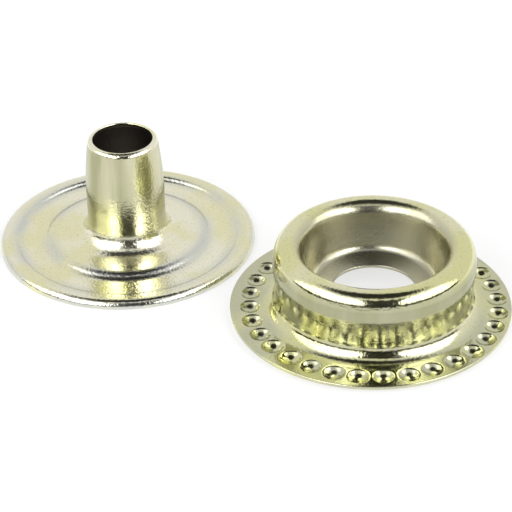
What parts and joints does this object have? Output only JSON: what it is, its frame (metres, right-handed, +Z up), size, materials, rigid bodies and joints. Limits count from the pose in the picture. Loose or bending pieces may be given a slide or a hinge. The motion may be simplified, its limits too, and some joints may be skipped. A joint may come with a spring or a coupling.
{
  "type": "snap fastener",
  "caption": "Male half of a post-type snap fastener: a stamped stud with a dimpled flange, and the hollow eyelet that clinches it to cloth.",
  "frame": {"origin": "centre of the two loose pieces' common outline, on the plane that they lie on", "axes": "+Z up along both pieces' axes, X along the line from the eyelet (-X) to the stud (+X)"},
  "size_m": [0.0288, 0.0144, 0.0063],
  "materials": {
    "stud_metal": "nickel-plated, polished",
    "eyelet_metal": "nickel-plated, satin polish"
  },
  "bodies": {
    "root": {"stud": "stud_metal", "eyelet": "eyelet_metal"}
  },
  "joints": []
}
